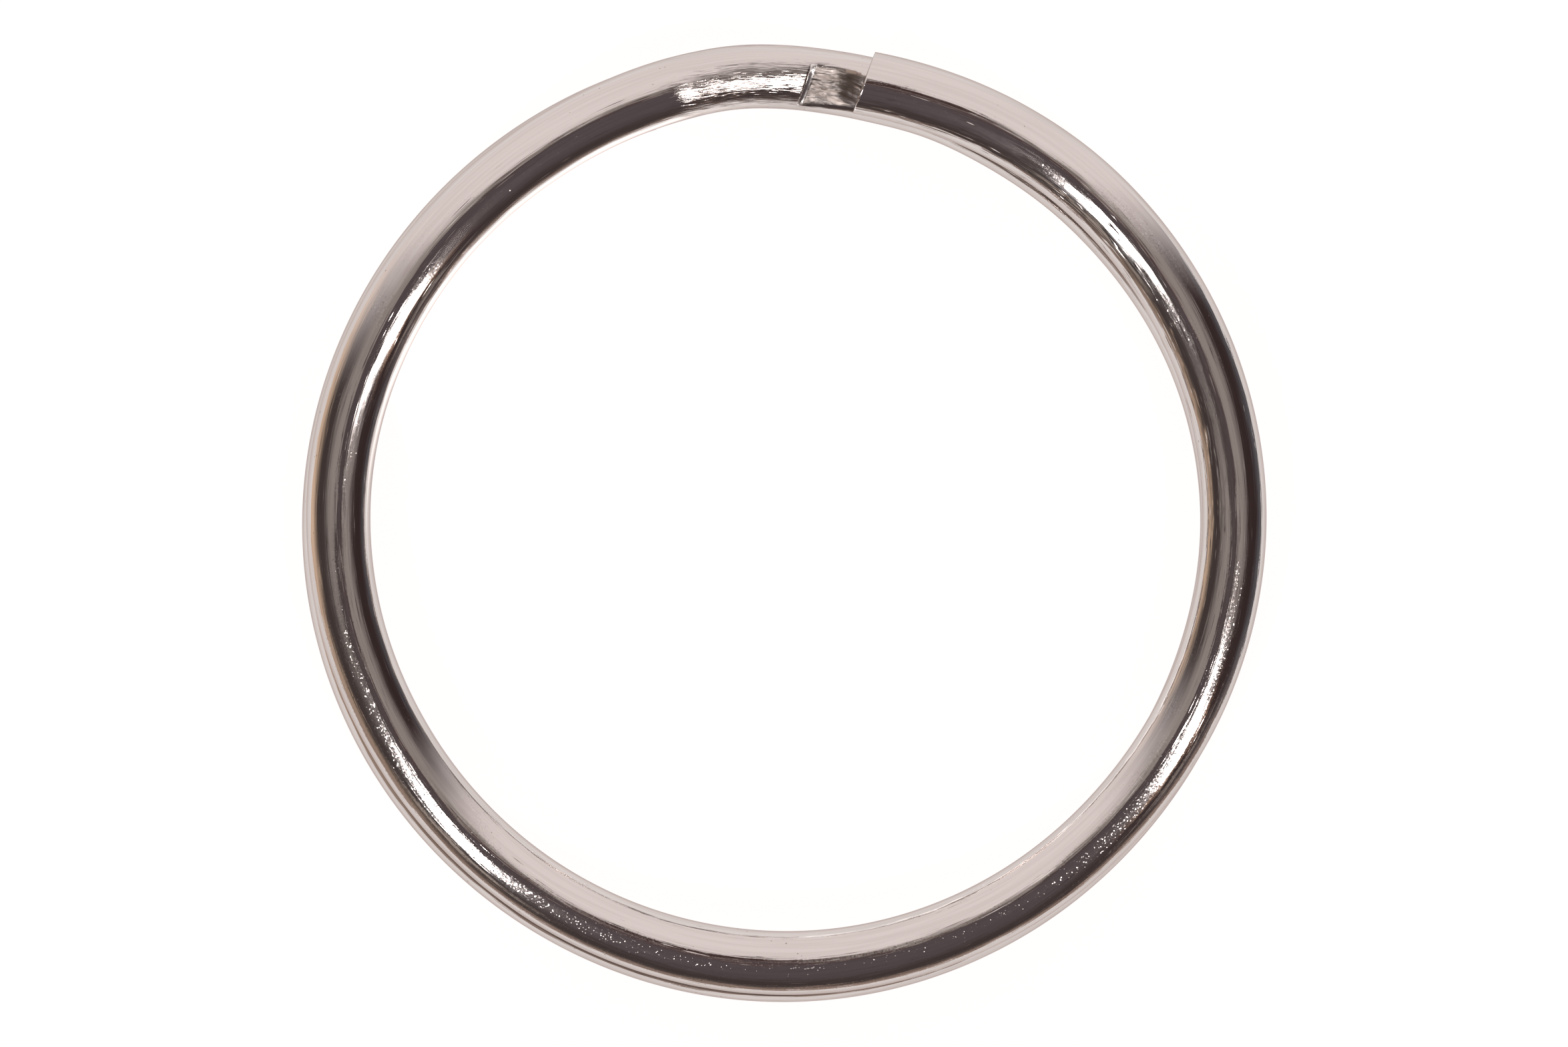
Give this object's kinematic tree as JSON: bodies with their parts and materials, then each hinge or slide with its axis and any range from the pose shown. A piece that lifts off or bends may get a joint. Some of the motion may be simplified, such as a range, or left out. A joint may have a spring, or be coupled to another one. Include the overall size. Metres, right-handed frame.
{
  "type": "split ring",
  "caption": "Two-turn split ring of flattened nickel-plated spring wire with a joggle, for holding keys and tags.",
  "frame": {"origin": "centre of the ring's footprint, on the plane that the lower turn rests on", "axes": "+Z along the axis of the coil, up from the resting plane; +Y towards the joggle and the visible cut end"},
  "size_m": [0.03, 0.03, 0.003],
  "materials": {
    "nickel_plated_wire": "bright nickel plate over drawn spring-steel wire, with fine lines along the wire and small pits"
  },
  "bodies": {
    "root": {"split_ring": "nickel_plated_wire"}
  },
  "joints": []
}
